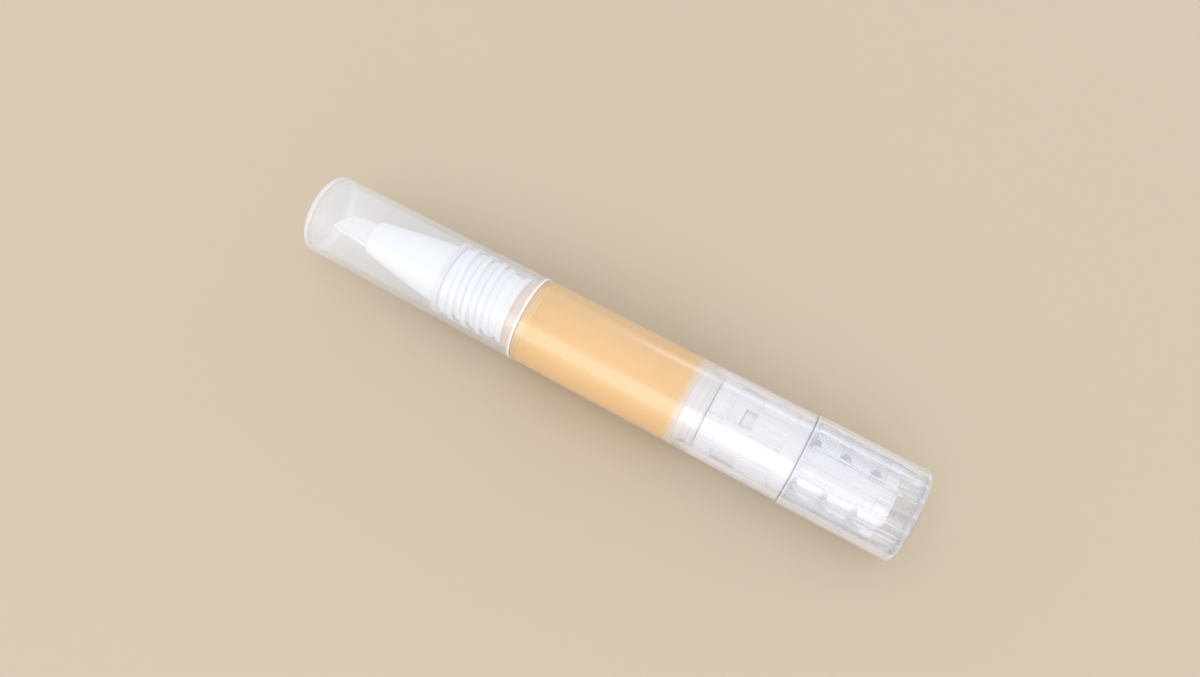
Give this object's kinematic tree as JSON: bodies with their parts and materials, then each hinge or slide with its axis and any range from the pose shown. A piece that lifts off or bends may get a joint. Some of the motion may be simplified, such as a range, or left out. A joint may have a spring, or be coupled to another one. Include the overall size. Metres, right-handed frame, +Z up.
{
  "type": "nail oil pen",
  "caption": "Slim twist-up pen with a ribbed clear knob, a milky barrel of oil, a slanted brush on a cone and a see-through screw cap.",
  "frame": {"origin": "under the middle of the pen, on the surface that it lies on", "axes": "+X along the pen towards the turning knob, +Z up, the pen lying on its side with its axis level"},
  "size_m": [0.1012, 0.0144, 0.0145],
  "materials": {
    "clear_knob": "clear moulded plastic, glossy",
    "clear_cap": "see-through, slightly milky polypropylene, semi-gloss",
    "milky_barrel": "milky translucent polypropylene, semi-gloss",
    "oil": "pale orange oil",
    "white_plastic": "white moulded plastic",
    "white_nozzle": "white moulded polypropylene, satin",
    "soft_plastic": "soft translucent polyethylene",
    "nylon": "white nylon brush filament"
  },
  "bodies": {
    "barrel": {"barrel_tube": "milky_barrel", "nozzle": "white_nozzle", "brush_ferrule": "white_plastic", "feed_tube": "soft_plastic", "bristles": "nylon", "ratchet_housing": "white_plastic", "oil_charge": "oil"},
    "knob": {"knob_shell": "clear_knob", "drive_sleeve": "white_plastic", "click_ring": "white_plastic"},
    "piston": {"piston": "soft_plastic", "screw_rod": "white_plastic"},
    "liner": {"cap_liner": "soft_plastic"},
    "cap": {"cap_shell": "clear_cap"}
  },
  "joints": [
    {"name": "knob_turn", "type": "hinge", "parent": "barrel", "child": "knob", "pos_m": [0.0506, 0, 0.00725], "axis": [-1, 0, 0], "range_deg": [0, 1710], "deforming": ["click_ring"]},
    {"name": "piston_slide", "type": "slide", "parent": "barrel", "child": "piston", "axis": [-1, 0, 0], "range_m": [0, 0.02208], "deforming": ["oil_charge"]},
    {"name": "cap_pull", "type": "slide", "parent": "barrel", "child": "liner", "axis": [-1, 0, 0], "range_m": [0, 0.042]},
    {"name": "cap_turn", "type": "hinge", "parent": "liner", "child": "cap", "pos_m": [-0.0127, 0, 0.00725], "axis": [1, 0, 0], "range_deg": [0, 1080]}
  ],
  "couplings": [
    {"joint": "knob_turn", "follows": "piston_slide", "rad_per_m": 1351.2}
  ]
}
